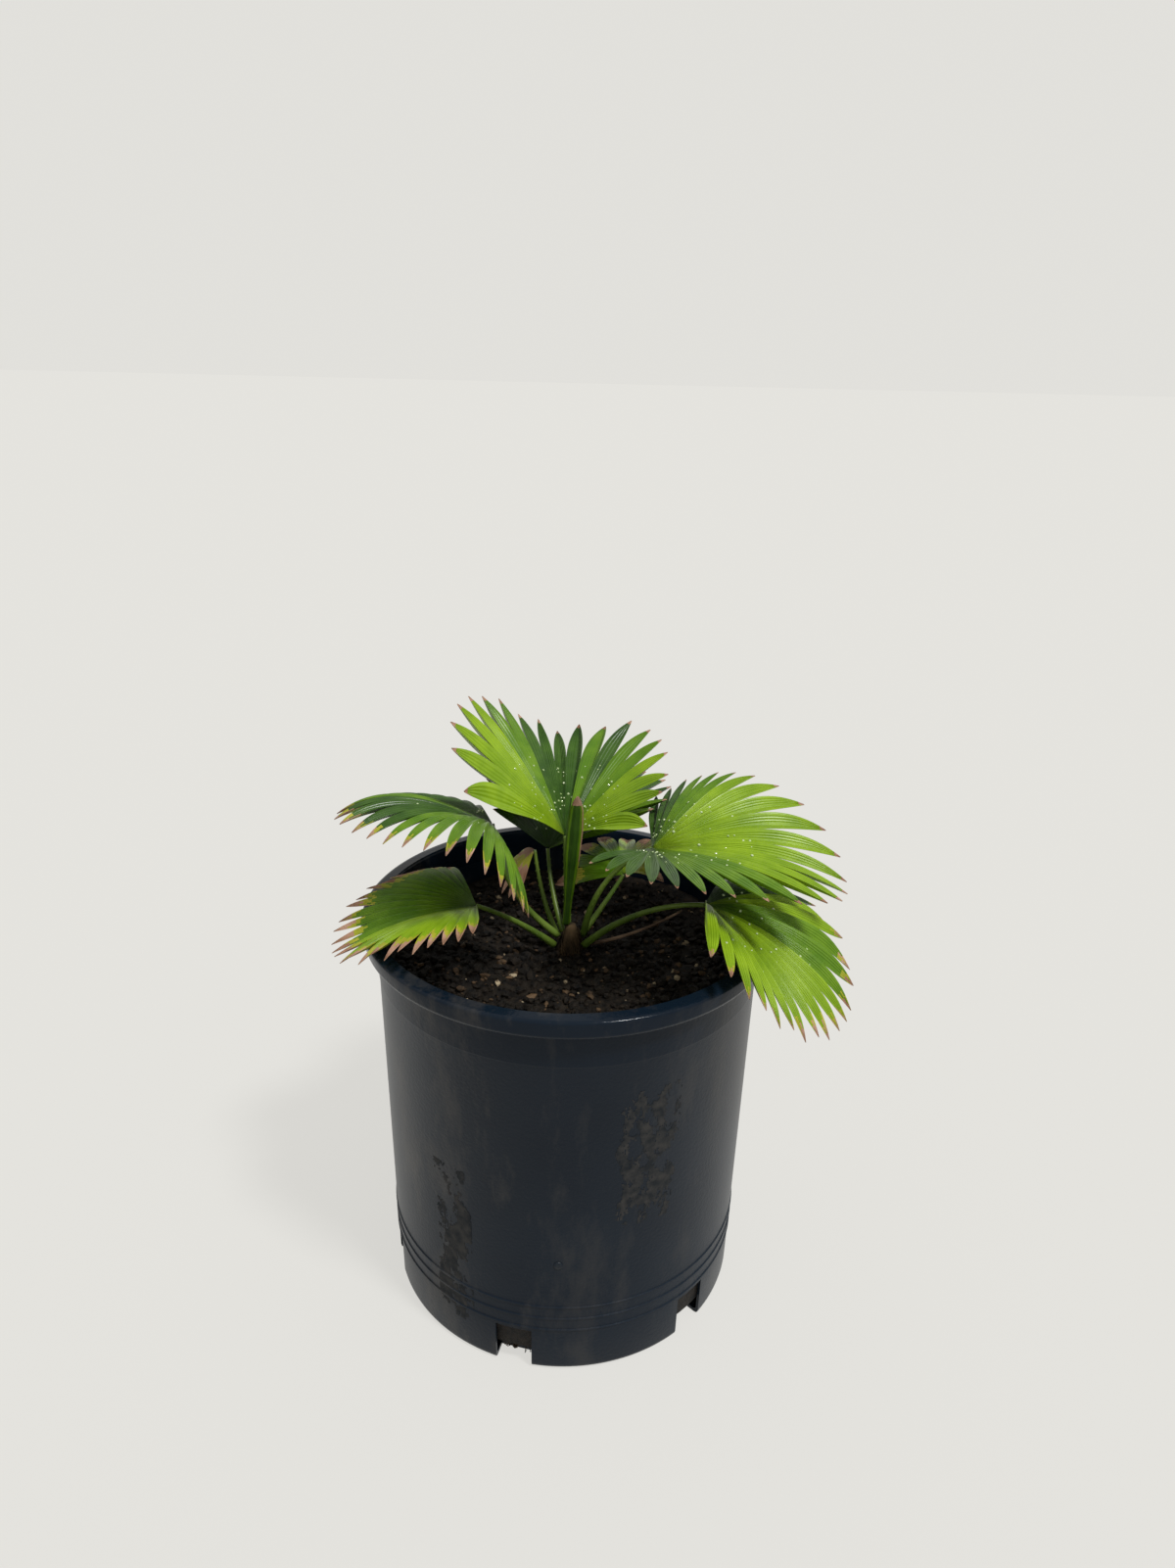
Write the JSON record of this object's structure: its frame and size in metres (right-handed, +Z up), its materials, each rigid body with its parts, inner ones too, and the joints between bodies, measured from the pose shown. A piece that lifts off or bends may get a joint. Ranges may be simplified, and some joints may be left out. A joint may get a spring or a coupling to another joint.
{
  "type": "potted footstool palm",
  "caption": "Young footstool palm with pleated round fan leaves on toothed stalks, in a black round plastic nursery pot with square drain openings.",
  "frame": {"origin": "middle of the pot's flat underside, on the surface that it stands on", "axes": "+Z up along the pot's axis; -Y faces the viewer, with the longest leaf to the right at +X"},
  "size_m": [0.3398, 0.2981, 0.4128],
  "materials": {
    "pot": "black, dull, dusty on one side",
    "soil": "dark wet potting mix",
    "crown": "brown fibrous leaf bases",
    "leaf": "waxy green with water drops",
    "stalk": "smooth green with small teeth",
    "dry": "dry and brown"
  },
  "bodies": {
    "root": {"pot": "pot", "soil": "soil", "crown": "crown", "spear": "leaf", "petiole_front_left": "stalk", "blade_front_left": "leaf", "petiole_left": "stalk", "blade_left": "leaf", "petiole_centre": "stalk", "blade_centre": "leaf", "petiole_back": "stalk", "blade_back": "leaf", "petiole_right": "stalk", "blade_right": "leaf", "petiole_low_right": "stalk", "blade_low_right": "leaf", "petiole_front_right": "stalk", "blade_front_right": "leaf", "petiole_withered": "stalk", "blade_withered": "dry", "dry_stalk": "dry"}
  },
  "joints": []
}
